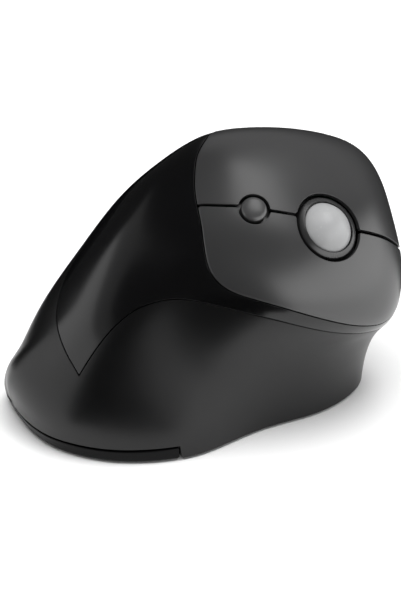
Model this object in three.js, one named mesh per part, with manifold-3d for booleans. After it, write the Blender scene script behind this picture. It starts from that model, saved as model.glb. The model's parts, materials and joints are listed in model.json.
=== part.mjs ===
// A cordless trackball mouse for the right hand. It stands nearly upright, so the palm rests on a slope.
// The small ball sits between the two keys and turns under a fingertip.
// Millimetres, +Z up, +Y forward (away from the wrist), +X towards the palm and the fingers.
// The origin is on the desk, under the middle of the mouse.
import * as THREE from "three";
import { mergeVertices } from "three/addons/utils/BufferGeometryUtils.js";
import { RoundedBoxGeometry } from "three/addons/geometries/RoundedBoxGeometry.js";
import Module from "manifold-3d";

const wasm = await Module();
wasm.setup();

// ---- driving dimensions ----
const FIT = 0.95; // from the drafting units of the sections below to millimetres
const MIDDLE = [-8.05, 4.3]; // the middle of the plan, in drafting units
const WALL = 2.2; // thickness of the moulded shell
const GAP = 0.34; // width of a parting line
const SKATE = 0.6; // height of a skate, of which 0.2 stands proud of the base
const DOOR_FRONT = -19.9; // the battery door is the whole base behind this line
const BASE_TOP = 3.9; // the door's rim ends here, and the housing starts
const BASE_GAP = 0.32;
const FLOOR_THICK = 1.9; // of the base plate and the door
const BALL_R = 8;
const BALL_RISE = 3.3; // how far the ball stands out of the key surface
const BALL_PLAY = 0.3; // clearance between the ball and the ring's bore
const RING_HOLE_R = 9.35;
const RING_R = 8.75;
const RING_MOUTH_R = 7.4;
const DPI_HOLE_R = 3.9;
const DPI_R = 3.45;
const CELL_R = 5.25; // one AAA cell
const CELL_L = 44.5;
const BOARD = 1.2; // thickness of a circuit board

// ---- the outer form: cross-sections from the heel to the nose ----
// Each section runs from the base on the finger side, over the crest, to the base on the thumb side.
// The first and the last shrink to a point on the base's edge.
const SECTIONS = [
  Array(12).fill([-14, -50.6, 0.5]),
  [
    [-3.5, -49.4, 0.5], [-3, -50.8, 4.5], [-5, -52.2, 9], [-8, -53, 12.5],
    [-11.5, -53.4, 15], [-15, -53.5, 15.8], [-18.5, -52.8, 15], [-21.3, -52.2, 13.3],
    [-23.6, -51.8, 10.6], [-25.3, -51.7, 7.7], [-25.8, -51.4, 4.6], [-25, -50.5, 0.5],
  ],
  [
    [6.5, -45.2, 0.5], [7.5, -46, 7], [6.2, -46.8, 14], [3, -46.8, 20],
    [-1.5, -46.6, 24], [-6.8, -46.4, 26], [-12, -46.4, 26.3], [-17.8, -46, 24.4],
    [-23.3, -46.2, 20.4], [-27.6, -46.5, 15], [-31, -47.2, 8.5], [-31, -46.8, 0.5],
  ],
  [
    [17.5, -33.7, 0.5], [17.2, -34, 10], [14.8, -34.2, 21], [10.8, -34.5, 31.5],
    [5.5, -35, 37.3], [-1.5, -35.2, 39.8], [-9.5, -35.4, 40], [-18, -36, 38],
    [-26, -37, 32.3], [-32.5, -37.8, 24], [-37.5, -37.5, 13], [-40, -36, 0.5],
  ],
  [
    [23.2, -18, 0.5], [21.6, -18, 13], [17.5, -18, 28], [13, -19, 42],
    [7.2, -20, 50.2], [-1, -20.3, 55.6], [-10.5, -20.6, 57.5], [-20.3, -21, 55],
    [-29.4, -22.7, 46.9], [-37, -24, 35], [-41, -24, 18], [-44, -23.5, 0.5],
  ],
  [
    [22.8, -5, 0.5], [22, -5, 14], [20, -5, 28], [17.8, -5, 43.5],
    [12.8, -5, 57], [4.5, -5, 66], [-6.5, -5, 70.3], [-18.5, -6, 70],
    [-30, -8, 60.5], [-36.5, -8, 45], [-38.5, -8, 24], [-43.5, -8, 0.5],
  ],
  [
    [19.2, 12, 0.5], [20, 12, 14], [22.8, 12, 28], [25.8, 12, 42],
    [20.2, 12, 56.5], [9, 12, 68.5], [-6, 12, 76.6], [-22, 12, 76.6],
    [-33.2, 12, 63.1], [-36.5, 12, 43], [-37.5, 12, 22], [-43, 12, 0.5],
  ],
  [
    [18, 30, 0.5], [18.4, 30, 13], [22, 30, 25], [27.8, 30, 36],
    [25.3, 30.5, 49], [15.5, 31, 61.5], [0.5, 31, 71.5], [-17, 31, 76.5],
    [-30, 30.5, 67], [-36.5, 30, 46], [-37.5, 30, 23], [-41, 30, 0.5],
  ],
  [
    [12, 44.5, 0.5], [12.3, 45.5, 12], [16.5, 47, 22], [23.3, 47.5, 31],
    [20.5, 49.5, 43], [11, 51, 56], [-2, 51.4, 65.2], [-17.5, 50.6, 70],
    [-29.1, 48.6, 61.8], [-34.5, 45.5, 42], [-35.5, 43, 22], [-35, 41, 0.5],
  ],
  [
    [4.5, 51, 0.5], [4.8, 52.8, 11], [7.5, 55, 19], [12.3, 57.2, 28.5],
    [9.8, 59.6, 40], [2.5, 60.4, 50], [-7, 61, 58.6], [-17, 60, 61.9],
    [-25.2, 57, 54.8], [-29.5, 52.5, 38], [-28.5, 50, 18], [-26, 48.5, 0.5],
  ],
  [
    [-3, 53, 0.5], [-2.5, 54.7, 8], [-1, 57, 15], [0.2, 59.3, 24],
    [-1, 61, 32], [-5, 61.7, 38.5], [-10, 61.7, 42], [-15, 60.7, 42.5],
    [-20, 58.8, 37], [-22, 56.3, 27], [-21.5, 54, 13], [-19, 52, 0.5],
  ],
  Array(12).fill([-10, 53, 0.5]),
];
const LAST_U = SECTIONS.length - 1;
const LAST_V = SECTIONS[0].length - 1;

// ---- lines drawn on that form, as [along, around] in section steps ----
const SEAM_FINGER_SIDE = [
  [2.47, 2.86], [2.55, 2.97], [2.75, 3.21], [3.03, 3.43], [3.36, 3.53], [3.69, 3.49], [3.95, 3.38],
  [4.41, 3.25], [5.03, 3.1], [5.6, 2.97], [6.35, 2.81], [7.18, 2.63], [7.93, 2.42],
  [8.6, 2.4], [9.3, 2.5], [10, 3], [10.35, 4.4], [10.42, 6],
];
const SEAM_THUMB_SIDE = [
  [10.41, 5.6], [10.42, 6], [10.35, 7.7], [9.9, 8.9], [9, 9.2], [8.1, 8.7], [7, 8.3], [6, 8.08],
  [5, 7.98], [4.2, 7.82], [3.6, 7.55], [3.2, 7.25], [2.85, 6.75], [2.62, 6.1], [2.47, 5.05],
  [2.46, 3.87], [2.55, 2.97], [2.57, 2.86],
];
const KEY_EDGE = [
  [6.15, 7.09], [5.84, 6.68], [5.58, 6.39], [5.4, 6.08], [5.25, 5.67], [5.16, 5.22], [5.12, 4.83],
  [5.07, 4.39], [5.05, 3.97], [5.09, 3.69], [5.2, 3.49], [5.36, 3.36], [5.6, 3.27], [6.13, 3.16],
  [6.54, 3.1], [6.96, 3.03], [7.31, 2.94], [7.64, 2.86], [7.95, 2.83], [8.3, 2.95], [8.75, 3.2],
  [9.3, 3.6], [9.82, 4.25], [10.12, 5.2], [10.18, 6.2], [10, 7.1], [9.4, 7.55], [8.5, 7.65],
  [7.5, 7.65], [6.7, 7.5],
];
const KEY_SPLIT = [
  [5.16, 5.22], [5.45, 5.05], [5.78, 4.96], [6.21, 4.95], [6.67, 5.04], [7.07, 5], [7.53, 4.88],
  [8.1, 4.66], [8.74, 4.4], [9.3, 4.25], [9.82, 4.25],
];
const RING_AT = [7.07, 4.98];
const DPI_AT = [5.99, 4.92];
const THUMB_GRIP_EDGE = [
  [4.2, 9.8], [4.8, 9.38], [6, 9.28], [7.2, 9.4], [7.9, 9.8], [7.3, 10.2], [6, 10.3], [4.8, 10.22],
];
const FORWARD_EDGE = [
  [6.28, 8.79], [6.28, 8.6], [6.36, 8.51], [6.9, 8.51], [7.4, 8.58], [7.58, 8.76], [7.4, 8.91], [6.9, 8.93], [6.36, 8.89],
];
const BACK_EDGE = [
  [4.88, 8.62], [5.06, 8.47], [5.58, 8.42], [6.08, 8.46], [6.16, 8.55], [6.16, 8.74], [6.08, 8.84], [5.58, 8.84], [5.06, 8.77],
];
const SIDE_AT = [6.28, 8.7]; // between the two thumb buttons

// ---- what stands on the base, in millimetres ----
const POST_R = 3.2; // screw posts stand inside the housing, just inside its wall
const SCREW_R = 1;
const SCREW_HEAD_R = 2.2;
const SCREWS = [
  { name: "screw_front_left", x: -22.9, y: 28.6 },
  { name: "screw_front_right", x: 18.6, y: 26 },
  { name: "screw_rear_left", x: -28.4, y: -12.5 },
  { name: "screw_rear_right", x: 23.6, y: -13.5 },
];
const SKATES = [
  { name: "skate_front", x: -2, y: 38.6, w: 19, d: 5.6 },
  { name: "skate_left", x: -27.4, y: 6, w: 5.2, d: 20 },
  { name: "skate_right", x: 19.6, y: 3, w: 5.2, d: 20 },
  { name: "skate_rear", x: -5, y: -43.6, w: 19, d: 5.6 },
];
const MAIN_BOARD = { x: -3, y: 10, w: 33, d: 50 };
const MAIN_BOARD_Z = 6;
const BOARD_POSTS = [[-17, -12], [11, -12], [-17, 32], [11, 32]];
const DESK_SENSOR = { x: -3, y: 12, lensR: 4.6 };
const POWER = { x: -6, y: -8, w: 3.4, d: 3.6, travel: 3 };
const CELL = { x: -2.8, y: -26.9, z: 8.1 };

// ---- materials ----
const paint = (color, roughness, metalness = 0) =>
  new THREE.MeshStandardMaterial({ color, roughness, metalness });
const FINISH = {
  soft: paint(0x17181a, 0.62),
  gloss: paint(0x08080a, 0.12),
  satin: paint(0x1d1e20, 0.32),
  ring: paint(0x3a3b3d, 0.35),
  ball: paint(0xa9abae, 0.3),
  dark: paint(0x0d0e0f, 0.5),
  white: paint(0xdcdcda, 0.45),
  steel: paint(0xb9bbbe, 0.3, 1),
  board: paint(0x123a24, 0.5),
  cell: paint(0x2c4f6b, 0.35, 0.4),
  lens: paint(0xd8e2e6, 0.1),
  rubber: paint(0x101112, 0.85),
};

// ---- smooth curves through given values (a natural cubic with parabolic ends) ----
function bendMatrix(count) {
  // rows: each knot's second derivative as a weighted sum of the values
  const a = Array.from({ length: count }, () => Array(2 * count).fill(0));
  a[0][0] = 1;
  a[0][1] = -1;
  a[count - 1][count - 1] = 1;
  a[count - 1][count - 2] = -1;
  for (let i = 1; i < count - 1; i++) {
    a[i][i - 1] = 1;
    a[i][i] = 4;
    a[i][i + 1] = 1;
    a[i][count + i - 1] = 6;
    a[i][count + i] = -12;
    a[i][count + i + 1] = 6;
  }
  for (let i = 0; i < count; i++) {
    const pivot = a[i][i];
    for (let k = 0; k < 2 * count; k++) a[i][k] /= pivot;
    for (let r = 0; r < count; r++) {
      const f = r === i ? 0 : a[r][i];
      if (f) for (let k = 0; k < 2 * count; k++) a[r][k] -= f * a[i][k];
    }
  }
  return a.map((row) => row.slice(count));
}

function curveWeights(t, count, bend) {
  const i = Math.min(Math.max(Math.floor(t), 0), count - 2);
  const f = t - i;
  const g = 1 - f;
  const value = Array(count).fill(0);
  const slope = Array(count).fill(0);
  value[i] += g;
  value[i + 1] += f;
  slope[i] -= 1;
  slope[i + 1] += 1;
  for (let k = 0; k < count; k++) {
    value[k] += ((g ** 3 - g) * bend[i][k] + (f ** 3 - f) * bend[i + 1][k]) / 6;
    slope[k] += ((1 - 3 * g * g) * bend[i][k] + (3 * f * f - 1) * bend[i + 1][k]) / 6;
  }
  return { value, slope };
}

const BEND_U = bendMatrix(SECTIONS.length);
const BEND_V = bendMatrix(SECTIONS[0].length);

// The point of the outer form at (u, v), and the outward normal there.
function form(u, v) {
  const wu = curveWeights(u, SECTIONS.length, BEND_U);
  const wv = curveWeights(v, SECTIONS[0].length, BEND_V);
  const point = new THREE.Vector3();
  const alongU = new THREE.Vector3();
  const alongV = new THREE.Vector3();
  SECTIONS.forEach((section, i) =>
    section.forEach((knot, j) => {
      const p = new THREE.Vector3(...knot);
      point.addScaledVector(p, wu.value[i] * wv.value[j]);
      alongU.addScaledVector(p, wu.slope[i] * wv.value[j]);
      alongV.addScaledVector(p, wu.value[i] * wv.slope[j]);
    }),
  );
  point.x -= MIDDLE[0];
  point.y -= MIDDLE[1];
  point.multiplyScalar(FIT);
  return { point, normal: alongU.cross(alongV).normalize() };
}

// A smooth line through [along, around] knots, as evenly stepped knots of the same kind.
function drawnLine(knots, steps, closed = false) {
  const curve = new THREE.CatmullRomCurve3(knots.map(([u, v]) => new THREE.Vector3(u, v, 0)), closed);
  curve.arcLengthDivisions = 400;
  const count = closed ? steps : steps + 1;
  return Array.from({ length: count }, (_, k) => curve.getPointAt(k / steps)).map((p) => [p.x, p.y]);
}

// ---- solids ----
function solidOf(geometry) {
  const bare = geometry.index ? geometry.toNonIndexed() : geometry.clone();
  bare.deleteAttribute("normal");
  bare.deleteAttribute("uv");
  const merged = mergeVertices(bare, 1e-4);
  const mesh = new wasm.Mesh({
    numProp: 3,
    vertProperties: new Float32Array(merged.attributes.position.array),
    triVerts: new Uint32Array(merged.index.array),
  });
  return new wasm.Manifold(mesh);
}

function geometryOf(solid) {
  const mesh = solid.getMesh();
  const geometry = new THREE.BufferGeometry();
  geometry.setAttribute("position", new THREE.BufferAttribute(mesh.vertProperties, 3));
  geometry.setIndex(new THREE.BufferAttribute(mesh.triVerts, 1));
  const flat = geometry.toNonIndexed();
  flat.computeVertexNormals();
  return flat;
}

// A closed solid from points and triangles that share them.
function solidFrom(points, triangles) {
  const mesh = new wasm.Mesh({
    numProp: 3,
    vertProperties: new Float32Array(points.flatMap((p) => [p.x, p.y, p.z])),
    triVerts: new Uint32Array(triangles.flat()),
  });
  mesh.merge();
  return new wasm.Manifold(mesh);
}

// The whole outer form as one solid, closed by a flat bottom.
function fullBody(alongSteps, aroundSteps) {
  const points = [form(0, 0).point];
  for (let i = 1; i < alongSteps; i++)
    for (let j = 0; j <= aroundSteps; j++)
      points.push(form((LAST_U * i) / alongSteps, (LAST_V * j) / aroundSteps).point);
  points.push(form(LAST_U, 0).point);
  const end = points.length - 1;
  const at = (i, j) => (i === 0 ? 0 : i === alongSteps ? end : 1 + (i - 1) * (aroundSteps + 1) + j);
  const triangles = [];
  const quad = (a, b, c, d) => {
    if (a !== b && b !== c && c !== a) triangles.push([a, b, c]);
    if (a !== c && c !== d && d !== a) triangles.push([a, c, d]);
  };
  for (let i = 0; i < alongSteps; i++) {
    for (let j = 0; j < aroundSteps; j++) quad(at(i, j), at(i + 1, j), at(i + 1, j + 1), at(i, j + 1));
    quad(at(i, aroundSteps), at(i + 1, aroundSteps), at(i + 1, 0), at(i, 0));
  }
  return solidFrom(points, triangles);
}

// The room inside the form, a given depth under its surface. It stops short of both ends.
function innerRoom(depth, alongSteps, aroundSteps, fromU, toU) {
  const points = [];
  const rows = [];
  for (let i = 0; i <= alongSteps; i++) {
    const u = fromU + ((toU - fromU) * i) / alongSteps;
    const row = [];
    for (let j = 0; j <= aroundSteps; j++) {
      const { point, normal } = form(u, (LAST_V * j) / aroundSteps);
      row.push(point.addScaledVector(normal, -depth));
    }
    row.unshift(row[0].clone().setZ(-3));
    row.push(row[row.length - 1].clone().setZ(-3));
    rows.push(row);
  }
  const width = rows[0].length;
  rows.forEach((row) => points.push(...row));
  const triangles = [];
  const quad = (a, b, c, d) => triangles.push([a, b, c], [a, c, d]);
  for (let i = 0; i < alongSteps; i++)
    for (let j = 0; j < width; j++) {
      const k = (j + 1) % width;
      quad(i * width + j, (i + 1) * width + j, (i + 1) * width + k, i * width + k);
    }
  for (const [row, start, turn] of [[rows[0], 0, 1], [rows[alongSteps], alongSteps * width, -1]]) {
    const centre = row.reduce((sum, p) => sum.add(p), new THREE.Vector3()).divideScalar(width);
    const hub = points.push(centre) - 1;
    for (let j = 0; j < width; j++) {
      const a = start + j;
      const b = start + ((j + 1) % width);
      triangles.push(turn > 0 ? [hub, a, b] : [hub, b, a]);
    }
  }
  return solidFrom(points, triangles);
}

// A thin wall that follows a drawn line through the shell: what it takes away is a parting line.
function partingBlade(knots, steps, closed = false) {
  const line = drawnLine(knots, steps, closed).map(([u, v]) => form(u, v));
  const count = line.length;
  const points = [];
  line.forEach(({ point, normal }, k) => {
    const before = line[closed ? (k + count - 1) % count : Math.max(k - 1, 0)].point;
    const after = line[closed ? (k + 1) % count : Math.min(k + 1, count - 1)].point;
    const side = after.clone().sub(before).cross(normal).normalize();
    for (const [up, out] of [[1.6, -1], [1.6, 1], [-WALL - 1.4, 1], [-WALL - 1.4, -1]])
      points.push(point.clone().addScaledVector(normal, up).addScaledVector(side, (out * GAP) / 2));
  });
  const triangles = [];
  for (let k = 0; k < (closed ? count : count - 1); k++) {
    const a = 4 * k;
    const b = 4 * ((k + 1) % count);
    for (let c = 0; c < 4; c++) {
      const d = (c + 1) % 4;
      triangles.push([a + c, b + c, b + d], [a + c, b + d, a + d]);
    }
  }
  if (!closed) {
    const e = 4 * (count - 1);
    triangles.push([0, 1, 2], [0, 2, 3], [e, e + 2, e + 1], [e, e + 3, e + 2]);
  }
  const solid = solidFrom(points, triangles);
  if (solid.volume() > 0) return solid;
  return solidFrom(points, triangles.map(([a, b, c]) => [a, c, b]));
}

const move = (geometry, x, y, z) => geometry.translate(x, y, z);
const boxSolid = (x, y, z, sx, sy, sz) => solidOf(move(new THREE.BoxGeometry(sx, sy, sz), x, y, z));
// An upright cylinder that stands on z, or a cone frustum where the two radii differ.
const postSolid = (x, y, z, bottomR, height, sides = 20, topR = bottomR) =>
  solidOf(move(new THREE.CylinderGeometry(topR, bottomR, height, sides).rotateX(Math.PI / 2), x, y, z + height / 2));

const group = new THREE.Group();
group.name = "trackball_mouse";

function add(name, geometry, material, matrix) {
  const mesh = new THREE.Mesh(geometry, material);
  mesh.name = name;
  if (matrix) {
    mesh.applyMatrix4(matrix);
  }
  group.add(mesh);
  return mesh;
}
const addSolid = (name, solid, material) => add(name, geometryOf(solid), material);

// A frame on the outer form: origin on the surface, x across (up towards the crest), y forward, z out.
function surfaceFrame([u, v]) {
  const { point, normal } = form(u, v);
  const forward = new THREE.Vector3(0, 1, 0).addScaledVector(normal, -normal.y).normalize();
  const across = forward.clone().cross(normal);
  return new THREE.Matrix4().makeBasis(across, forward, normal).setPosition(point);
}
const placed = (geometry, matrix) => solidOf(geometry.applyMatrix4(matrix));
const disc = (r, from, to, sides = 40) =>
  new THREE.CylinderGeometry(r, r, to - from, sides).rotateX(Math.PI / 2).translate(0, 0, (from + to) / 2);
const block = (x, y, z, sx, sy, sz) => new THREE.BoxGeometry(sx, sy, sz).translate(x, y, z);

const atRing = surfaceFrame(RING_AT);
const atDpi = surfaceFrame(DPI_AT);
const atSide = surfaceFrame(SIDE_AT);

// ---- shell and base ----
const body = fullBody(30, 28);
const room = innerRoom(WALL, 15, 20, 0.95, LAST_U - 1);
const slabBetween = (low, high) => boxSolid(0, 0, (low + high) / 2, 200, 200, high - low);
const behind = (y, top = 30) => boxSolid(0, y - 60, top - 30, 200, 120, 60);

// The housing reaches down to the desk in front, and to the door's rim at the heel.
let shell = body.subtract(room).subtract(behind(DOOR_FRONT, BASE_TOP + BASE_GAP));
for (const { x, y } of SCREWS) {
  const post = postSolid(x, y, BASE_TOP + BASE_GAP, POST_R, 9).intersect(body);
  shell = shell.add(post).subtract(postSolid(x, y, BASE_TOP - 1, SCREW_R + 0.3, 9, 14));
}
shell = shell
  .subtract(placed(disc(RING_HOLE_R, -8, 8), atRing))
  .subtract(placed(disc(DPI_HOLE_R, -6, 6, 28), atDpi))
  .subtract(partingBlade(SEAM_FINGER_SIDE, 34))
  .subtract(partingBlade(SEAM_THUMB_SIDE, 54))
  .subtract(partingBlade(KEY_EDGE, 48, true))
  .subtract(partingBlade(KEY_SPLIT, 14))
  .subtract(partingBlade(THUMB_GRIP_EDGE, 28, true))
  .subtract(partingBlade(FORWARD_EDGE, 16, true))
  .subtract(partingBlade(BACK_EDGE, 16, true));

// Each piece of the cut shell is known by a place on the form that it covers.
const SHELL_PIECES = [
  ["lower_housing", [4.5, 1.5], FINISH.soft],
  ["palm_cover", [4.2, 5], FINISH.gloss],
  ["left_key", [7, 6.4], FINISH.satin],
  ["right_key", [7, 3.8], FINISH.satin],
  ["thumb_grip", [6, 9.8], FINISH.rubber],
  ["forward_button", [6.9, 8.75], FINISH.gloss],
  ["back_button", [5.6, 8.65], FINISH.gloss],
];
const cutPieces = shell.decompose();
for (const [name, [u, v], material] of SHELL_PIECES) {
  const { point, normal } = form(u, v);
  point.addScaledVector(normal, -WALL / 2);
  const probe = solidOf(move(new THREE.SphereGeometry(0.3, 8, 6), point.x, point.y, point.z));
  addSolid(name, cutPieces.find((piece) => piece.intersect(probe).volume() > 0), material);
}

// In front the base is a plate inside the housing's foot. At the heel it is the battery door, a shallow tray
// with a rim, which slides off backwards.
const FLOOR_Z = 0.5 * FIT; // the underside of the tray
const TRAY_Z = FLOOR_Z + FLOOR_THICK;
const stadium = (x, y, z, w, d, h) => {
  const r = Math.min(w, d) / 2;
  const outline = new THREE.Shape();
  outline.absarc(w / 2 - r, d / 2 - r, r, 0, Math.PI / 2);
  outline.absarc(r - w / 2, d / 2 - r, r, Math.PI / 2, Math.PI);
  outline.absarc(r - w / 2, r - d / 2, r, Math.PI, 1.5 * Math.PI);
  outline.absarc(w / 2 - r, r - d / 2, r, 1.5 * Math.PI, 2 * Math.PI);
  return new THREE.ExtrudeGeometry(outline, { depth: h, bevelEnabled: false, curveSegments: 5 }).translate(x, y, z);
};
const opening = innerRoom(WALL + GAP, 15, 20, 0.95, LAST_U - 1).subtract(behind(DOOR_FRONT));
let plate = opening.intersect(slabBetween(FLOOR_Z, TRAY_Z));
let door = body
  .intersect(slabBetween(0, BASE_TOP))
  .subtract(room.intersect(slabBetween(TRAY_Z, 20)))
  .intersect(behind(DOOR_FRONT - GAP));
for (const { x, y } of SCREWS) {
  const seat = postSolid(x, y, FLOOR_Z, 3.6, BASE_TOP - FLOOR_Z).intersect(opening);
  plate = plate
    .add(seat)
    .subtract(postSolid(x, y, 0, SCREW_HEAD_R + 0.3, 2.2, 16))
    .subtract(postSolid(x, y, 0, SCREW_R + 0.3, 8, 14));
}
for (const { x, y, w, d } of SKATES) {
  const pocket = solidOf(stadium(x, y, 0, w + 0.6, d + 0.6, SKATE + 0.3));
  plate = plate.subtract(pocket);
  door = door.subtract(pocket);
}
for (const [x, y] of BOARD_POSTS)
  plate = plate.add(postSolid(x, y, TRAY_Z - 0.3, 1.6, MAIN_BOARD_Z - 0.3 - TRAY_Z + 0.3, 12));
plate = plate
  .subtract(postSolid(DESK_SENSOR.x, DESK_SENSOR.y, 0, DESK_SENSOR.lensR + 0.35, 4, 28))
  .subtract(boxSolid(POWER.x + POWER.travel / 2, POWER.y, 1.5, POWER.w + POWER.travel + 0.7, POWER.d + 0.7, 6));
addSolid("base_plate", plate, FINISH.soft);
addSolid("battery_door", door, FINISH.gloss);

for (const { name, x, y, w, d } of SKATES) add(name, stadium(x, y, 0, w, d, SKATE), FINISH.dark);

for (const { name, x, y } of SCREWS) {
  const head = postSolid(x, y, 0.8, SCREW_HEAD_R, 1.2, 16);
  const shank = postSolid(x, y, 1.8, SCREW_R, 8.6, 8);
  const drive = postSolid(x, y, 0, 0.9, 1.5, 6);
  addSolid(name, head.add(shank).subtract(drive), FINISH.steel);
}

// ---- power: cell, its tray and contacts, and the switch under the base ----
const trayBox = (x, y, z, sx, sy, sz) => boxSolid(x, CELL.y + y, z, sx, sy, sz);
const cellRoomL = CELL_L + 4.3;
addSolid(
  "battery_tray",
  trayBox(CELL.x, 0, 7.2, cellRoomL + 1.6, 2 * CELL_R + 2.6, 6)
    .subtract(trayBox(CELL.x, 0, 7.2, cellRoomL, 2 * CELL_R + 0.8, 8))
    .subtract(trayBox(CELL.x, 9, 9.5, 30, 18, 3)),
  FINISH.dark,
);
const lying = (geometry, x, y, z) => move(geometry.rotateZ(Math.PI / 2), x, y, z);
const cellEnd = new THREE.CylinderGeometry(1.9, 1.9, 1.6, 16);
add("battery_cell", lying(new THREE.CylinderGeometry(CELL_R, CELL_R, CELL_L - 1, 28), CELL.x - 0.5, CELL.y, CELL.z),
  FINISH.cell);
add("battery_cap", lying(cellEnd, CELL.x + CELL_L / 2 + 0.2, CELL.y, CELL.z), FINISH.steel);
for (const [name, side] of [["contact_plus", 1], ["contact_minus", -1]])
  add(name, block(CELL.x + side * (cellRoomL / 2 - 0.5), CELL.y, CELL.z, 0.4, 7, 7), FINISH.steel);
const springR = [[0, -0.4], [3, -0.4], [1.8, 0.3], [0, 0.3]].map(([r, h]) => new THREE.Vector2(r, h));
add("contact_spring", lying(new THREE.LatheGeometry(springR, 18), CELL.x - CELL_L / 2 - 0.75, CELL.y, CELL.z),
  FINISH.steel);
add("receiver_cap", new RoundedBoxGeometry(6.2, 12.8, 5.6, 1, 0.8).translate(-12.5, -41.6, 7.2), FINISH.dark);
add("receiver_plug", block(-3, -41.6, 7.2, 12.2, 12, 4.4), FINISH.steel);

addSolid(
  "power_switch",
  boxSolid(POWER.x, POWER.y, 1.75, POWER.w, POWER.d, 2.1).add(
    boxSolid(POWER.x, POWER.y, 3.2, POWER.w + 3.4, POWER.d + 2.4, 0.9),
  ),
  FINISH.white,
);

// ---- electronics on the base ----
const board = MAIN_BOARD;
add("main_board", block(board.x, board.y, MAIN_BOARD_Z + BOARD / 2, board.w, board.d, BOARD), FINISH.board);
add("desk_sensor", block(DESK_SENSOR.x, DESK_SENSOR.y, MAIN_BOARD_Z - 1.1, 9.4, 9.4, 1.5), FINISH.dark);
add("desk_lens", new THREE.CylinderGeometry(DESK_SENSOR.lensR, DESK_SENSOR.lensR - 0.8, 2.7, 28)
  .rotateX(Math.PI / 2).translate(DESK_SENSOR.x, DESK_SENSOR.y, 2.6), FINISH.lens);
add("radio_chip", block(board.x - 6, board.y + 14, MAIN_BOARD_Z + BOARD + 0.9, 7, 7, 1.1), FINISH.dark);

// ---- the ball, its ring and its cup ----
const BALL_Z = BALL_RISE - BALL_R; // the ball's centre, below the key surface
const hugBall = (z, play) => Math.sqrt((BALL_R + play) ** 2 - (z - BALL_Z) ** 2);
const lathe = (profile, sides) =>
  new THREE.LatheGeometry(profile.map(([r, z]) => new THREE.Vector2(r, z)), sides).rotateX(Math.PI / 2);
const FLANGE_TOP = -4.6;
const FLANGE_LOW = -5.4;
const ringBore = [-1.3, -2.6, FLANGE_LOW].map((z) => [hugBall(z, BALL_PLAY), z]);
add("ball", new THREE.SphereGeometry(BALL_R, 24, 16).translate(0, 0, BALL_Z), FINISH.ball, atRing);
addSolid(
  "ball_ring",
  placed(
    lathe([
      ...ringBore, [RING_R + 1.8, FLANGE_LOW], [RING_R + 1.8, FLANGE_TOP], [RING_R, FLANGE_TOP],
      [RING_R, -0.3], [RING_R - 0.3, 0], [RING_MOUTH_R + 0.4, 0.1], [RING_MOUTH_R + 0.1, -0.1],
      [RING_MOUTH_R, -0.6], ringBore[0],
    ], 30),
    atRing,
  ),
  FINISH.ring,
);
const CUP_TOP = FLANGE_LOW - GAP;
const cupAngles = [0, 0.25, 0.5, 0.75, 1].map((t) => {
  const start = Math.asin((BALL_Z - CUP_TOP) / (BALL_R + 0.5));
  return start + t * (1.18 - start);
});
const cupArc = (r) => cupAngles.map((a) => [r * Math.cos(a), BALL_Z - r * Math.sin(a)]);
const cupInside = cupArc(BALL_R + 0.5);
const BEARING_R = 0.9;
const BEARING_AT = new THREE.Vector3(0, 0, -(BALL_R + 0.1 + BEARING_R)).applyAxisAngle(new THREE.Vector3(1, 0, 0), 0.95);
let cup = placed(lathe([...cupInside, ...cupArc(BALL_R + 2).reverse(), cupInside[0]], 24), atRing);
for (let k = 0; k < 3; k++) {
  const at = BEARING_AT.clone().applyAxisAngle(new THREE.Vector3(0, 0, 1), (2 * Math.PI * k) / 3);
  at.z += BALL_Z;
  cup = cup.subtract(placed(new THREE.SphereGeometry(BEARING_R + 0.3, 8, 6).translate(at.x, at.y, at.z), atRing));
  add(`bearing_ball_${k + 1}`, new THREE.SphereGeometry(BEARING_R, 10, 8).translate(at.x, at.y, at.z),
    FINISH.steel, atRing);
}
addSolid("ball_cup", cup, FINISH.dark);
const CUP_LOW = BALL_Z - BALL_R - 2;
add("ball_sensor", block(0, 0, CUP_LOW - 1, 7, 7, 1.4), FINISH.dark, atRing);
add("ball_sensor_board", block(0, 0, CUP_LOW - 2.6, 15, 13, 1), FINISH.board, atRing);

// ---- under the keys: their board, and one switch each ----
const KEY_BOARD_Z = -12.4;
addSolid(
  "key_board",
  placed(block(-3, -4, KEY_BOARD_Z + BOARD / 2, 26, 35.4, BOARD), atRing)
    .subtract(placed(disc(BALL_R + 2.6, -14, -6, 28), atRing))
    .subtract(placed(block(0, 0, -9, 6.8, 6.8, 12), atDpi)),
  FINISH.board,
);
for (const [name, x, y] of [["left_switch", -12.4, -9], ["right_switch", 7.4, -14.5]])
  add(name, block(x, y, KEY_BOARD_Z + BOARD + 1.6, 5.6, 6.4, 2.6), FINISH.dark, atRing);
add(
  "dpi_button",
  lathe([
    [0, -3.7], [DPI_HOLE_R + 0.7, -3.7], [DPI_HOLE_R + 0.7, -3.1], [DPI_R, -3.1], [DPI_R, 0],
    [DPI_R - 0.35, 0.4], [DPI_R * 0.6, 0.75], [0, 0.9],
  ], 24),
  FINISH.satin,
  atDpi,
);
add("dpi_switch", block(0, 0, -6.1, 6, 6, 3.4), FINISH.dark, atDpi);

// ---- behind the thumb buttons ----
add("side_board", block(0, 0, -8.6, 9, 40, BOARD), FINISH.board, atSide);
for (const [name, y] of [["forward_switch", 11], ["back_switch", -10.5]])
  add(name, block(0, y, -6, 5.6, 5.6, 3.2), FINISH.dark, atSide);

export default group;
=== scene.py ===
"""The looks of a cordless upright trackball mouse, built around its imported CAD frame.

Lengths in the geometry sections are millimetres in the CAD's frame: +Z up, +Y towards the nose, +X the palm's
side. MM turns them into metres.
"""
import json
import math

import bmesh
import bpy
import numpy as np
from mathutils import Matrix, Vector
from mathutils.geometry import delaunay_2d_cdt


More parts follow.
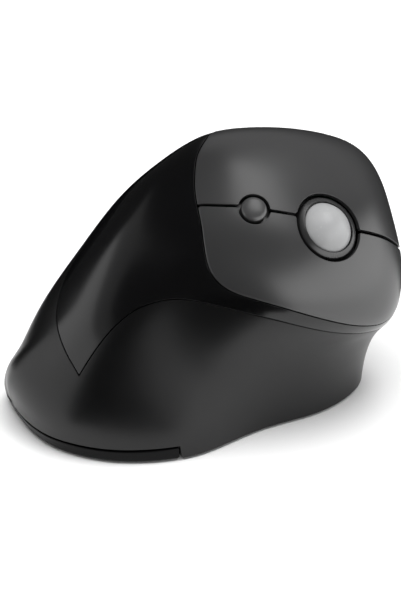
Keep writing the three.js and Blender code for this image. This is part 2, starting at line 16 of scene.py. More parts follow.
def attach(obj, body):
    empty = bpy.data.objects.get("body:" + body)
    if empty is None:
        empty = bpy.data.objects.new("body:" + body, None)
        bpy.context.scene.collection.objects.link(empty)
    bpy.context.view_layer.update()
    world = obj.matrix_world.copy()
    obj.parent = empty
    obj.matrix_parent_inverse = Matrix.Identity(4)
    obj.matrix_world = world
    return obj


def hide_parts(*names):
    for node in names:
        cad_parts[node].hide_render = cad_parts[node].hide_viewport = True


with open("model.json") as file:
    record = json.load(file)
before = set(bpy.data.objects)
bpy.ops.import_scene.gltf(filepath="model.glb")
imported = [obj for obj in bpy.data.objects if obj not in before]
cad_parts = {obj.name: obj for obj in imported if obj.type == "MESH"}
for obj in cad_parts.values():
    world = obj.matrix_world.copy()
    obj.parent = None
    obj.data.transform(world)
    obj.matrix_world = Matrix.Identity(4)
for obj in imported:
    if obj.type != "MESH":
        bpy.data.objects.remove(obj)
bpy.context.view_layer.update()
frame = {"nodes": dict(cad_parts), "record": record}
nodes = frame["nodes"]
MM = 0.001
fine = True

# ---------------------------------------------------------------- the outer form
FIT = 0.95
MIDDLE = np.array([-8.05, 4.3, 0.0])
SECTIONS = [
    [(-14, -50.6, 0.5)] * 12,
    [(-3.5, -49.4, 0.5), (-3, -50.8, 4.5), (-5, -52.2, 9), (-8, -53, 12.5),
     (-11.5, -53.4, 15), (-15, -53.5, 15.8), (-18.5, -52.8, 15), (-21.3, -52.2, 13.3),
     (-23.6, -51.8, 10.6), (-25.3, -51.7, 7.7), (-25.8, -51.4, 4.6), (-25, -50.5, 0.5)],
    [(6.5, -45.2, 0.5), (7.5, -46, 7), (6.2, -46.8, 14), (3, -46.8, 20),
     (-1.5, -46.6, 24), (-6.8, -46.4, 26), (-12, -46.4, 26.3), (-17.8, -46, 24.4),
     (-23.3, -46.2, 20.4), (-27.6, -46.5, 15), (-31, -47.2, 8.5), (-31, -46.8, 0.5)],
    [(17.5, -33.7, 0.5), (17.2, -34, 10), (14.8, -34.2, 21), (10.8, -34.5, 31.5),
     (5.5, -35, 37.3), (-1.5, -35.2, 39.8), (-9.5, -35.4, 40), (-18, -36, 38),
     (-26, -37, 32.3), (-32.5, -37.8, 24), (-37.5, -37.5, 13), (-40, -36, 0.5)],
    [(23.2, -18, 0.5), (21.6, -18, 13), (17.5, -18, 28), (13, -19, 42),
     (7.2, -20, 50.2), (-1, -20.3, 55.6), (-10.5, -20.6, 57.5), (-20.3, -21, 55),
     (-29.4, -22.7, 46.9), (-37, -24, 35), (-41, -24, 18), (-44, -23.5, 0.5)],
    [(22.8, -5, 0.5), (22, -5, 14), (20, -5, 28), (17.8, -5, 43.5),
     (12.8, -5, 57), (4.5, -5, 66), (-6.5, -5, 70.3), (-18.5, -6, 70),
     (-30, -8, 60.5), (-36.5, -8, 45), (-38.5, -8, 24), (-43.5, -8, 0.5)],
    [(19.2, 12, 0.5), (20, 12, 14), (22.8, 12, 28), (25.8, 12, 42),
     (20.2, 12, 56.5), (9, 12, 68.5), (-6, 12, 76.6), (-22, 12, 76.6),
     (-33.2, 12, 63.1), (-36.5, 12, 43), (-37.5, 12, 22), (-43, 12, 0.5)],
    [(18, 30, 0.5), (18.4, 30, 13), (22, 30, 25), (27.8, 30, 36),
     (25.3, 30.5, 49), (15.5, 31, 61.5), (0.5, 31, 71.5), (-17, 31, 76.5),
     (-30, 30.5, 67), (-36.5, 30, 46), (-37.5, 30, 23), (-41, 30, 0.5)],
    [(12, 44.5, 0.5), (12.3, 45.5, 12), (16.5, 47, 22), (23.3, 47.5, 31),
     (20.5, 49.5, 43), (11, 51, 56), (-2, 51.4, 65.2), (-17.5, 50.6, 70),
     (-29.1, 48.6, 61.8), (-34.5, 45.5, 42), (-35.5, 43, 22), (-35, 41, 0.5)],
    [(4.5, 51, 0.5), (4.8, 52.8, 11), (7.5, 55, 19), (12.3, 57.2, 28.5),
     (9.8, 59.6, 40), (2.5, 60.4, 50), (-7, 61, 58.6), (-17, 60, 61.9),
     (-25.2, 57, 54.8), (-29.5, 52.5, 38), (-28.5, 50, 18), (-26, 48.5, 0.5)],
    [(-3, 53, 0.5), (-2.5, 54.7, 8), (-1, 57, 15), (0.2, 59.3, 24),
     (-1, 61, 32), (-5, 61.7, 38.5), (-10, 61.7, 42), (-15, 60.7, 42.5),
     (-20, 58.8, 37), (-22, 56.3, 27), (-21.5, 54, 13), (-19, 52, 0.5)],
    [(-10, 53, 0.5)] * 12,
]
KNOTS = (np.array(SECTIONS, float) - MIDDLE) * FIT
LAST_U, LAST_V = KNOTS.shape[0] - 1, KNOTS.shape[1] - 1


def bend_matrix(count):
    """Each knot's second derivative as a weighted sum of the values: a cubic with parabolic ends."""
    a, b = np.zeros((count, count)), np.zeros((count, count))
    a[0, 0] = a[-1, -1] = 1
    a[0, 1] = a[-1, -2] = -1
    for i in range(1, count - 1):
        a[i, i - 1:i + 2] = (1, 4, 1)
        b[i, i - 1:i + 2] = (6, -12, 6)
    return np.linalg.solve(a, b)


BEND = {count: bend_matrix(count) for count in KNOTS.shape[:2]}


def curve_weights(t, count):
    """What each knot adds to the value, and to the slope, of a cubic curve at each t."""
    t = np.clip(t, 0, count - 1)
    i = np.minimum(t.astype(int), count - 2)
    f = t - i
    g = 1 - f
    row = np.arange(len(t))
    value, slope = np.zeros((len(t), count)), np.zeros((len(t), count))
    value[row, i] += g
    value[row, i + 1] += f
    slope[row, i] -= 1
    slope[row, i + 1] += 1
    bend = BEND[count]
    value += ((g ** 3 - g) / 6)[:, None] * bend[i] + ((f ** 3 - f) / 6)[:, None] * bend[i + 1]
    slope += ((1 - 3 * g * g) / 6)[:, None] * bend[i] + ((3 * f * f - 1) / 6)[:, None] * bend[i + 1]
    return value, slope


def form(uv):
    """Points of the outer form, their outward normals, and the two tangents, for rows of (u, v)."""
    uv = np.atleast_2d(np.asarray(uv, float))
    wu, du = curve_weights(uv[:, 0], LAST_U + 1)
    wv, dv = curve_weights(uv[:, 1], LAST_V + 1)
    p = np.einsum("ki,kj,ijc->kc", wu, wv, KNOTS)
    pu = np.einsum("ki,kj,ijc->kc", du, wv, KNOTS)
    pv = np.einsum("ki,kj,ijc->kc", wu, dv, KNOTS)
    return p, unit(np.cross(pu, pv)), pu, pv


def unit(v):
    return v / (np.linalg.norm(v, axis=-1, keepdims=True) + 1e-12)


def step_on_form(uv, move):
    """The (u, v) reached by a small move, in millimetres, along the form."""
    _, _, pu, pv = form(uv)
    e, f, g = (pu * pu).sum(1), (pu * pv).sum(1), (pv * pv).sum(1)
    a, b = (move * pu).sum(1), (move * pv).sum(1)
    det = e * g - f * f + 1e-9
    return uv + np.stack([(a * g - b * f) / det, (b * e - a * f) / det], 1)


PARTS_PER_KNOT = 24


def spline(knots, closed=False, step=0.45):
    """A smooth line through (u, v) knots, sampled about every step millimetres on the form."""
    k = np.array(knots, float)
    if closed:
        k = np.vstack([k, k[:1]])
    p = form(k)[0]
    t = np.concatenate([[0], np.cumsum(np.sqrt(np.linalg.norm(np.diff(p, axis=0), axis=1)))])
    n = len(k)
    h = np.diff(t)
    a, b = np.zeros((n, n)), np.zeros((n, 2))
    for i in range(1, n - 1):
        a[i, i - 1:i + 2] = (h[i - 1], 2 * (h[i - 1] + h[i]), h[i])
        b[i] = 6 * ((k[i + 1] - k[i]) / h[i] - (k[i] - k[i - 1]) / h[i - 1])
    if closed:
        a[0, 0], a[0, -1] = 1, -1
        a[-1, 0], a[-1, 1], a[-1, -1], a[-1, -2] = 2 * h[0], h[0], 2 * h[-1], h[-1]
        b[-1] = 6 * ((k[1] - k[0]) / h[0] - (k[-1] - k[-2]) / h[-1])
    else:
        a[0, 0] = a[-1, -1] = 1
    m = np.linalg.solve(a, b)
    parts = [np.linspace(t[i], t[i + 1], PARTS_PER_KNOT, endpoint=False) for i in range(n - 1)]
    s = np.concatenate(parts + [[t[-1]]])
    i = np.clip(np.searchsorted(t, s, "right") - 1, 0, n - 2)
    x, y, w = (t[i + 1] - s)[:, None], (s - t[i])[:, None], h[i][:, None]
    line = (m[i] * x ** 3 + m[i + 1] * y ** 3) / (6 * w)
    line += (k[i] / w - m[i] * w / 6) * x + (k[i + 1] / w - m[i + 1] * w / 6) * y
    return resampled(line, step, closed)


def resampled(line, step, closed=False):
    """The line with evenly spaced points, about step millimetres apart on the form."""
    p = form(line)[0]
    s = np.concatenate([[0], np.cumsum(np.linalg.norm(np.diff(p, axis=0), axis=1))])
    count = max(int(round(s[-1] / step)), 3)
    at = np.linspace(0, s[-1], count + 1)
    if closed:
        at = at[:-1]
    return np.stack([np.interp(at, s, line[:, 0]), np.interp(at, s, line[:, 1])], 1)


# ---------------------------------------------------------------- lines drawn on the form
SEAM = [
    (2.55, 2.97), (2.75, 3.21), (3.03, 3.43), (3.36, 3.53), (3.69, 3.49), (3.95, 3.38),
    (4.41, 3.25), (5.03, 3.1), (5.6, 2.97), (6.35, 2.81), (7.18, 2.63), (7.93, 2.42),
    (8.6, 2.4), (9.3, 2.5), (10, 3), (10.35, 4.4), (10.42, 6), (10.35, 7.7), (9.9, 8.9),
    (9, 9.2), (8.1, 8.7), (7, 8.3), (6, 8.08), (5, 7.98), (4.2, 7.82), (3.6, 7.55), (3.2, 7.25),
    (2.85, 6.75), (2.62, 6.1), (2.47, 5.05), (2.46, 3.87), (2.55, 2.97),
]
KEY_EDGE = [
    (5.16, 5.22), (5.12, 4.83), (5.07, 4.39), (5.05, 3.97), (5.09, 3.69), (5.2, 3.49), (5.36, 3.36),
    (5.6, 3.27), (6.13, 3.16), (6.54, 3.1), (6.96, 3.03), (7.31, 2.94), (7.64, 2.86), (7.95, 2.83),
    (8.3, 2.95), (8.75, 3.2), (9.3, 3.6), (9.82, 4.25), (10.12, 5.2), (10.18, 6.2), (10, 7.1),
    (9.4, 7.55), (8.5, 7.65), (7.5, 7.65), (6.7, 7.5), (6.15, 7.09), (5.84, 6.68), (5.58, 6.39),
    (5.4, 6.08), (5.25, 5.67),
]
KEY_SPLIT = [
    (5.16, 5.22), (5.45, 5.05), (5.78, 4.96), (6.21, 4.95), (6.67, 5.04), (7.07, 5), (7.53, 4.88),
    (8.1, 4.66), (8.74, 4.4), (9.3, 4.25), (9.82, 4.25),
]
RING_AT = (7.07, 4.98)
DPI_AT = (5.99, 4.92)
THUMB_GRIP_EDGE = [
    (4.2, 9.8), (4.8, 9.38), (6, 9.28), (7.2, 9.4), (7.9, 9.8), (7.3, 10.2), (6, 10.3), (4.8, 10.22),
]
FORWARD_EDGE = [
    (6.28, 8.79), (6.28, 8.6), (6.36, 8.51), (6.9, 8.51), (7.4, 8.58), (7.58, 8.76), (7.4, 8.91),
    (6.9, 8.93), (6.36, 8.89),
]
BACK_EDGE = [
    (4.88, 8.62), (5.06, 8.47), (5.58, 8.42), (6.08, 8.46), (6.16, 8.55), (6.16, 8.74), (6.08, 8.84),
    (5.58, 8.84), (5.06, 8.77),
]

# ---------------------------------------------------------------- sizes
WALL = 2.2
BASE_TOP = 3.9  # height of the door's rim at the heel
BASE_GAP = 0.32  # between the rim and the housing over it
RING_HOLE_R, RING_R, RING_MOUTH_R = 9.35, 8.75, 7.2
BALL_R, BALL_RISE = 8.0, 3.3
BALL_Z = BALL_RISE - BALL_R  # the ball's centre, from the form
DPI_HOLE_R, DPI_R = 3.9, 3.45
DOOR_FRONT = -19.9
DOOR_GAP = 0.34
FLOOR_Z = 0.5 * FIT
TRAY_Z = FLOOR_Z + 1.9
KEY_LIFT = 0.1  # how far the keys stand over the cover
KEY_THICK = 1.0  # thin enough to clear the cover when a key is pressed


class Spot:
    """A frame on the form: origin on the surface, x across (down the slope), y forward, z out."""

    def __init__(self, uv):
        self.uv = np.array([uv], float)
        p, n, _, _ = form(self.uv)
        self.o, self.z = p[0], n[0]
        self.y = unit(np.array([0, 1.0, 0]) - self.z * self.z[1])
        self.x = np.cross(self.y, self.z)

    def world(self, q):
        q = np.atleast_2d(q)
        return self.o + q[:, :1] * self.x + q[:, 1:2] * self.y + q[:, 2:] * self.z

    def on_form(self, xy):
        """(u, v) of the form's points that lie over the plane points xy."""
        xy = np.atleast_2d(xy)
        uv = np.repeat(self.uv, len(xy), 0)
        for _ in range(8):
            d = form(uv)[0] - self.o
            miss = xy - np.stack([d @ self.x, d @ self.y], 1)
            uv = step_on_form(uv, miss[:, :1] * self.x + miss[:, 1:] * self.y)
        return uv


ring_spot, dpi_spot = Spot(RING_AT), Spot(DPI_AT)


# ---------------------------------------------------------------- meshes
def piece(name, verts, faces, body, material, replaces, normals=None):
    """A mesh of smooth faces that rides on body and stands for the CAD nodes in replaces."""
    mesh = bpy.data.meshes.new(name)
    mesh.from_pydata([tuple(v) for v in np.asarray(verts) * MM], [], faces)
    mesh.validate()
    mesh.update()
    mesh.shade_smooth()
    if normals is not None:
        mesh.normals_split_custom_set_from_vertices([tuple(n) for n in normals])
    obj = bpy.data.objects.new(name, mesh)
    bpy.context.scene.collection.objects.link(obj)
    obj.data.materials.append(material)
    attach(obj, body)
    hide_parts(*replaces)
    return obj


def inside(points, polygon):
    """Which points lie inside a closed polygon, by crossings."""
    x, y = points[:, 0], points[:, 1]
    hit = np.zeros(len(points), bool)
    a, b = polygon, np.roll(polygon, -1, 0)
    for (x1, y1), (x2, y2) in zip(a, b):
        if y1 == y2:
            continue
        cross = (y1 > y) != (y2 > y)
        hit ^= cross & (x < (x2 - x1) * (y - y1) / (y2 - y1) + x1)
    return hit


def sides(loop):
    """For a closed (u, v) loop: its points, and the direction out of the area on its left."""
    p, n, _, _ = form(loop)
    t = unit(np.roll(p, -1, 0) - np.roll(p, 1, 0))
    return p, unit(np.cross(t, n))


def signed_area(loop):
    """A closed loop's area, positive when it runs counter-clockwise."""
    x, y = loop[:, 0], loop[:, 1]
    return 0.5 * np.sum(x * np.roll(y, -1) - np.roll(x, -1) * y)


def distance_to(points, line):
    """Shortest distance from each point to a closed 3-D polyline."""
    a, b = line, np.roll(line, -1, 0)
    ab = b - a
    best = np.full(len(points), 1e9)
    for start in range(0, len(points), 400):
        q = points[start:start + 400]
        aq = q[:, None] - a[None]
        t = np.clip((aq * ab).sum(2) / ((ab * ab).sum(1) + 1e-12), 0, 1)
        best[start:start + 400] = np.linalg.norm(aq - t[..., None] * ab, axis=2).min(1)
    return best


STAYS = 0.97  # a moved point stays if it is this much of its depth away from the whole loop


def inset(loop, depth):
    """The loop moved depth millimetres into its own area, with what crosses over at corners left out.

    Returns the new loop, for each point the outward direction in the surface, and which points stayed."""
    p, out = sides(loop)
    depth = np.broadcast_to(depth, len(loop))
    moved = step_on_form(loop, -depth[:, None] * out)
    keep = distance_to(form(moved)[0], p) > depth * STAYS
    return moved[keep], out[keep], keep


UV_MM = np.array([15.0, 12.0])  # about how long one step in u and in v is, for even triangles


def skin(outer, holes, spacing, scale=UV_MM):
    """Triangles over the area inside outer and outside holes: (u, v) rows, faces, and each loop's rows."""
    loops = [outer] + list(holes)
    low, high = outer.min(0) * scale, outer.max(0) * scale
    xs = np.arange(low[0], high[0], spacing)
    ys = np.arange(low[1], high[1], spacing * 0.87)
    gx, gy = np.meshgrid(xs, ys, indexing="ij")
    gx = gx + (np.arange(len(ys)) % 2) * spacing / 2
    grid = np.stack([gx.ravel(), gy.ravel()], 1)
    keep = inside(grid, outer * scale)
    for hole in holes:
        keep &= ~inside(grid, hole * scale)
    grid = grid[keep]
    edge = np.vstack(loops) * scale
    near = np.full(len(grid), 1e9)
    for start in range(0, len(grid), 500):
        d = grid[start:start + 500, None] - edge[None]
        near[start:start + 500] = np.sqrt((d * d).sum(2)).min(1)
    grid = grid[near > spacing * 0.55]
    points = np.vstack([edge, grid])
    edges, first = [], 0
    rows = []
    for loop in loops:
        count = len(loop)
        rows.append(np.arange(first, first + count))
        edges += [(first + i, first + (i + 1) % count) for i in range(count)]
        first += count
    result = delaunay_2d_cdt([Vector(q) for q in points], edges, [], 0, 1e-6)
    new, faces, origin = result[0], result[2], result[3]
    new = np.array([tuple(v) for v in new])
    back = {}
    for k, source in enumerate(origin):
        for s in source:
            back[s] = k
    faces = np.array([f for f in faces if len(f) == 3])
    middle = new[faces].mean(1)
    keep = inside(middle, outer * scale)
    for hole in holes:
        keep &= ~inside(middle, hole * scale)
    faces = faces[keep]
    flip = np.cross(new[faces[:, 1]] - new[faces[:, 0]], new[faces[:, 2]] - new[faces[:, 0]]) < 0
    faces[flip] = faces[flip][:, ::-1]
    return new / scale, [tuple(int(i) for i in f) for f in faces], [[back[i] for i in r] for r in rows]


ROLL_STEPS = 5


def panel(name, outer, holes, body, slot, material, replaces, gaps, rolls, lift=0.0, thick=WALL, spacing=1.3,
          shape=None):
    """A moulded shell panel: the form's skin inside outer and outside holes, with rolled edges and a back.

    For each loop, outer's first: gaps is how far the panel keeps back from it, and rolls its edge's radius."""
    loops, outs, radii = [], [], []
    for k, loop in enumerate([outer] + list(holes)):
        radius, gap = np.broadcast_to(rolls[k], len(loop)), np.broadcast_to(gaps[k], len(loop))
        if (signed_area(loop) < 0) != (k > 0):
            loop, radius, gap = loop[::-1], radius[::-1], gap[::-1]
        moved, out, keep = inset(loop, gap + radius)
        loops.append(moved)
        outs.append(out)
        radii.append(radius[keep][:, None])
    uv, faces, rows = skin(loops[0], [q[::-1] for q in loops[1:]], spacing)
    rows = [rows[0]] + [r[::-1] for r in rows[1:]]
    p, n, _, _ = form(uv)
    raise_by = lift + (shape(p)[:, None] if shape else 0.0)
    p = p + n * raise_by
    count = len(p)
    verts, norms = [p, p - n * thick], [n, -n]
    all_faces = list(faces) + [(a + count, c + count, b + count) for a, b, c in faces]
    total = 2 * count
    rims = [(math.sin(a), 1 - math.cos(a)) for a in np.linspace(0, math.pi / 2, ROLL_STEPS + 1)[1:]]
    for out, r, top in zip(outs, radii, rows):
        top = np.array(top)
        q, qn = p[top], n[top]
        previous = top
        size = len(top)
        for s, d in rims:
            verts.append(q + r * s * out - r * d * qn)
            norms.append(unit(s * out + (1 - d) * qn))
            row = np.arange(total, total + size)
            total += size
            all_faces += band(previous, row)
            previous = row
        verts.append(q + r * out - thick * qn)
        norms.append(out)
        row = np.arange(total, total + size)
        total += size
        all_faces += band(previous, row)
        all_faces += band(row, top + count)
    return piece(name, np.vstack(verts), all_faces, body, material, replaces, np.vstack(norms))


def band(a, b):
    """Quads between two closed rows of the same length."""
    size = len(a)
    return [(int(a[i]), int(b[i]), int(b[(i + 1) % size]), int(a[(i + 1) % size])) for i in range(size)]


def settled(uv, z):
    """The (u, v) rows moved up or down the form until they are z millimetres high."""
    for _ in range(10):
        p, _, pu, pv = form(uv)
        g = np.stack([pu[:, 2], pv[:, 2]], 1)
        uv = uv - np.clip((p[:, 2] - z)[:, None] * g / (g * g).sum(1)[:, None], -0.2, 0.2)
    return uv


def level_line(z, start, step=0.6):
    """The closed (u, v) line where the form is z millimetres high, traced from near start."""
    uv = settled(np.array([start], float), z)
    first = form(uv)[0][0]
    line = [uv[0]]
    for k in range(4000):
        n = form(uv)[1]
        t = unit(np.cross([0, 0, 1.0], n[0]))
        uv = settled(step_on_form(uv, (step * t)[None]), z)
        q = form(uv)[0][0]
        if k > 10 and np.linalg.norm(q - first) < step * 0.75:
            break
        line.append(uv[0])
    return np.array(line)


# ---------------------------------------------------------------- finishes
def new_node(tree, kind, **settings):
    node = tree.nodes.new(kind)
    for key, value in settings.items():
        setattr(node, key, value)
    return node


DRIFT_MM, GLOSS_MM, WEAR_MM = 26, 9, 3.5  # sizes of the patches of colour, of gloss and of wear


def finish(name, colour, roughness, grain=0.3, bump=0.02, tint=0.1, uneven=0.05, wear=0.25, metallic=0.0,
           specular=0.5, coat=0.0, streaks=False, pattern=None, transmission=0.0):
    """A moulded or metal surface: slow colour drift, specks, uneven gloss, fine grain and worn edges.

    grain is the size of its texture in millimetres, and bump that texture's height in millimetres. tint is how much
    the colour drifts, uneven how much the roughness does, and wear how light the edges get."""
    material = bpy.data.materials.new(name)
    material.use_nodes = True
    tree = material.node_tree
    tree.nodes.clear()
    link = tree.links.new
    output = new_node(tree, "ShaderNodeOutputMaterial")
    shader = new_node(tree, "ShaderNodeBsdfPrincipled")
    link(shader.outputs[0], output.inputs[0])
    shader.inputs["Metallic"].default_value = metallic
    shader.inputs["Specular IOR Level"].default_value = specular
    shader.inputs["Coat Weight"].default_value = coat
    shader.inputs["Coat Roughness"].default_value = 0.06
    shader.inputs["Transmission Weight"].default_value = transmission
    where = new_node(tree, "ShaderNodeTexCoord").outputs["Object"]
    if streaks:
        stretch = new_node(tree, "ShaderNodeMapping")
        stretch.inputs["Scale"].default_value = (0.06, 1, 1)
        link(where, stretch.inputs["Vector"])
        where = stretch.outputs[0]

    def noise(size_mm, detail=2.0, rough=0.5):
        node = new_node(tree, "ShaderNodeTexNoise")
        node.inputs["Scale"].default_value = 1 / (size_mm * MM)
        node.inputs["Detail"].default_value = detail
        node.inputs["Roughness"].default_value = rough
        link(where, node.inputs["Vector"])
        return node.outputs["Fac"]

    def remap(source, low, high, to_low, to_high):
        node = new_node(tree, "ShaderNodeMapRange")
        for key, value in zip(("From Min", "From Max", "To Min", "To Max"), (low, high, to_low, to_high)):
            node.inputs[key].default_value = value
        link(source, node.inputs["Value"])
        return node.outputs[0]

    def blend(factor, a, b):
        node = new_node(tree, "ShaderNodeMix", data_type="RGBA")
        link(factor, node.inputs["Factor"])
        for socket, value in ((node.inputs[6], a), (node.inputs[7], b)):
            if isinstance(value, tuple):
                socket.default_value = (*value, 1)
            else:
                link(value, socket)
        return node.outputs[2]

    def combine(operation, a, b):
        node = new_node(tree, "ShaderNodeMath", operation=operation)
        for socket, value in ((node.inputs[0], a), (node.inputs[1], b)):
            if isinstance(value, float):
                socket.default_value = value
            else:
                link(value, socket)
        return node.outputs[0]

    dark = tuple(c * (1 - tint) for c in colour)
    light = tuple(min(c * (1 + tint), 1) for c in colour)
    drift = noise(DRIFT_MM, 3)
    speck = noise(grain * 2.5, 2)
    tone = blend(remap(drift, 0.35, 0.65, 0, 1), dark, light)
    tone = blend(remap(speck, 0.62, 0.8, 0, 0.35), tone, tuple(min(c * 1.35 + 0.004, 1) for c in colour))
    edge = new_node(tree, "ShaderNodeNewGeometry").outputs["Pointiness"]
    worn = combine("MULTIPLY", remap(edge, 0.52, 0.6, 0, wear), remap(noise(WEAR_MM, 4), 0.35, 0.65, 0.2, 1))
    tone = blend(worn, tone, tuple(min(c * 1.6 + 0.012, 1) for c in colour))
    link(tone, shader.inputs["Base Color"])
    gloss = remap(noise(GLOSS_MM, 4, 0.6), 0.3, 0.7, max(roughness - uneven, 0.03), roughness + uneven)
    gloss = combine("SUBTRACT", gloss, combine("MULTIPLY", worn, 0.12))
    link(gloss, shader.inputs["Roughness"])

    height = noise(grain, 2, 0.6)
    if pattern == "leather":
        cells = new_node(tree, "ShaderNodeTexVoronoi", feature="SMOOTH_F1")
        cells.inputs["Scale"].default_value = 1 / (grain * 2 * MM)
        link(where, cells.inputs["Vector"])
        height = combine("ADD", height, cells.outputs["Distance"])
    if pattern == "traces":
        grid = new_node(tree, "ShaderNodeTexBrick")
        grid.inputs["Scale"].default_value = 1 / (6 * MM)
        link(where, grid.inputs["Vector"])
        height = combine("ADD", height, grid.outputs["Fac"])
    relief = new_node(tree, "ShaderNodeBump")
    relief.inputs["Strength"].default_value = 0.6
    relief.inputs["Distance"].default_value = bump * MM
    link(height, relief.inputs["Height"])
    link(relief.outputs[0], shader.inputs["Normal"])
    return material


FINISHES = {
    "soft_shell": finish("soft_shell", (0.0024, 0.0024, 0.0026), 0.33, grain=0.22, bump=0.004, uneven=0.02,
                         wear=0.05, specular=0.4),
    "base_shell": finish("base_shell", (0.005, 0.005, 0.0052), 0.45, grain=0.25, bump=0.008, uneven=0.03, wear=0.1,
                         specular=0.4),
    "gloss_cover": finish("gloss_cover", (0.0022, 0.0022, 0.0024), 0.18, grain=0.6, bump=0.0003, uneven=0.012,
                          wear=0.04),
    "satin_key": finish("satin_key", (0.023, 0.023, 0.0235), 0.31, grain=0.16, bump=0.0015, tint=0.05,
                        uneven=0.012, wear=0.05, specular=0.9),
    "grip_rubber": finish("grip_rubber", (0.01, 0.01, 0.01), 0.72, grain=0.3, bump=0.04, pattern="leather", wear=0.15),
    "thumb_button": finish("thumb_button", (0.012, 0.012, 0.0125), 0.3, grain=0.2, bump=0.003, wear=0.12),
    "small_button": finish("small_button", (0.036, 0.036, 0.0365), 0.3, grain=0.16, bump=0.002, uneven=0.02,
                           wear=0.1, specular=0.9),
    "ball_grey": finish("ball_grey", (0.3, 0.302, 0.305), 0.3, grain=0.3, bump=0.001, tint=0.03, uneven=0.02,
                        wear=0.0),
    "ring_grey": finish("ring_grey", (0.016, 0.016, 0.0165), 0.28, grain=0.16, bump=0.002, uneven=0.02, wear=0.1,
                        specular=0.8),
    "inner_black": finish("inner_black", (0.008, 0.008, 0.008), 0.5, grain=0.4, bump=0.02),
    "chip_black": finish("chip_black", (0.016, 0.016, 0.017), 0.55, grain=0.15, bump=0.01),
    "board_green": finish("board_green", (0.01, 0.07, 0.03), 0.4, grain=0.3, bump=0.03, pattern="traces"),
    "door_gloss": finish("door_gloss", (0.0028, 0.0028, 0.003), 0.3, grain=0.25, bump=0.003, uneven=0.02, wear=0.08,
                         specular=0.12),
    "skate": finish("skate", (0.02, 0.02, 0.021), 0.35, grain=0.6, bump=0.01, streaks=True, wear=0.3),
    "steel": finish("steel", (0.55, 0.55, 0.56), 0.28, grain=0.15, bump=0.01, metallic=1.0, streaks=True),
    "cell_wrap": finish("cell_wrap", (0.03, 0.09, 0.16), 0.3, grain=0.5, bump=0.004, metallic=0.4),
    "switch_white": finish("switch_white", (0.7, 0.7, 0.68), 0.4, grain=0.3, bump=0.01, tint=0.03),
    "lens_clear": finish("lens_clear", (0.8, 0.85, 0.87), 0.08, grain=0.5, bump=0.001, tint=0.02, transmission=0.7),
}
slot_of = {row["node"]: row["material_slot"] for row in frame["record"]["subparts"]}
for node_name, node in nodes.items():
    node.data.materials.clear()
    node.data.materials.append(FINISHES[slot_of[node_name]])


# ---------------------------------------------------------------- the shell's panels
def shell(name, body, slot, replaces, **settings):
    return panel(name, body=body, slot=slot, material=FINISHES[slot], replaces=replaces, **settings)


mesh_step = 1.3 if fine else 2.0
seam = spline(SEAM)[:-1]
key_edge = spline(KEY_EDGE, closed=True)
split = spline(KEY_SPLIT)
grip_edge = spline(THUMB_GRIP_EDGE, closed=True)
forward_edge = spline(FORWARD_EDGE, closed=True, step=0.35)
back_edge = spline(BACK_EDGE, closed=True, step=0.35)


FOOT_CLEAR, FOOT_GAP = 0.12, 0.17  # over the desk, and to the door and its rim


def housing_foot():
    """The housing's lower edge, over the door's rim at the heel and down to the desk in front of it.

    Returns the loop and, for each point, the gap that it keeps."""
    rim = level_line(BASE_TOP + BASE_GAP, (5.0, 0.3))
    foot = rim
    for z in np.linspace(BASE_TOP, FLOOR_Z + FOOT_CLEAR, 12):
        foot = settled(foot, z)
    foot = resampled(np.vstack([foot, foot[:1]]), 0.6, closed=True)
    parts = []
    for line, front in ((rim, False), (foot, True)):
        y = form(line)[0][:, 1]
        keep = (y > DOOR_FRONT) if front else (y < DOOR_FRONT)
        start = int(np.nonzero(keep & ~np.roll(keep, 1))[0][0])
        parts.append(np.roll(line, -start, 0)[:keep.sum()])
    (heel, front), joined, gaps = parts, [], []
    between = np.linspace(0.12, 0.88, 8)[:, None]
    for a, b, gap in ((heel, front, FOOT_GAP), (front, heel, 0.0)):
        joined += [a, a[-1] + between * (b[0] - a[-1])]
        gaps += [np.full(len(a), gap), np.full(len(between), FOOT_GAP)]
    return np.vstack(joined), np.concatenate(gaps)


foot_line, foot_gap = housing_foot()

shell("lower_housing_shell", "chassis", "soft_shell", ["lower_housing"], outer=foot_line,
     holes=[seam, grip_edge, forward_edge, back_edge], rolls=[0.3, 0.14, 0.2, 0.2, 0.2],
     gaps=[foot_gap, 0.12, 0.17, 0.17, 0.17], spacing=mesh_step)
shell("palm_cover_shell", "chassis", "gloss_cover", ["palm_cover"], outer=seam, holes=[key_edge],
     rolls=[0.14, 0.1], gaps=[0.12, 0.08], spacing=mesh_step)


def cut_by(spot, radius, line):
    """The stretches of a line outside a round hole, as (before, after), and where the hole cuts it."""
    d = form(line)[0] - spot.o
    flat = np.stack([d @ spot.x, d @ spot.y], 1)
    r = np.linalg.norm(flat, axis=1)
    hit = np.nonzero(r < radius)[0]
    ends = [math.atan2(flat[i, 1], flat[i, 0]) for i in (hit[0], hit[-1])]
    return line[:hit[0] - 1], line[hit[-1] + 2:], ends


def arc(spot, radius, start, end, down_slope):
    """The hole's edge from angle start to end, by its down-slope side or by its crest side."""
    through = 0.0 if down_slope else math.pi
    turn = (end - start) % (2 * math.pi)
    if (through - start) % (2 * math.pi) > turn:
        turn -= 2 * math.pi
    a = start + np.linspace(0, turn, max(int(abs(turn) * radius / 0.45), 8))
    return spot.on_form(np.stack([radius * np.cos(a), radius * np.sin(a)], 1))


def split_side(down_slope):
    """The split line from the heel to the nose, led round the two round holes on one side."""
    before, rest, dpi_ends = cut_by(dpi_spot, DPI_HOLE_R, split)
    between, after, ring_ends = cut_by(ring_spot, RING_HOLE_R, rest)
    return np.vstack([before, arc(dpi_spot, DPI_HOLE_R, *dpi_ends, down_slope), between,
                      arc(ring_spot, RING_HOLE_R, *ring_ends, down_slope), after])


nose_knot = form([KEY_SPLIT[-1]])[0][0]
turn_at = int(np.argmin(np.linalg.norm(form(key_edge)[0] - nose_knot, axis=1)))
finger_side, thumb_side = key_edge[:turn_at + 1], key_edge[turn_at:]


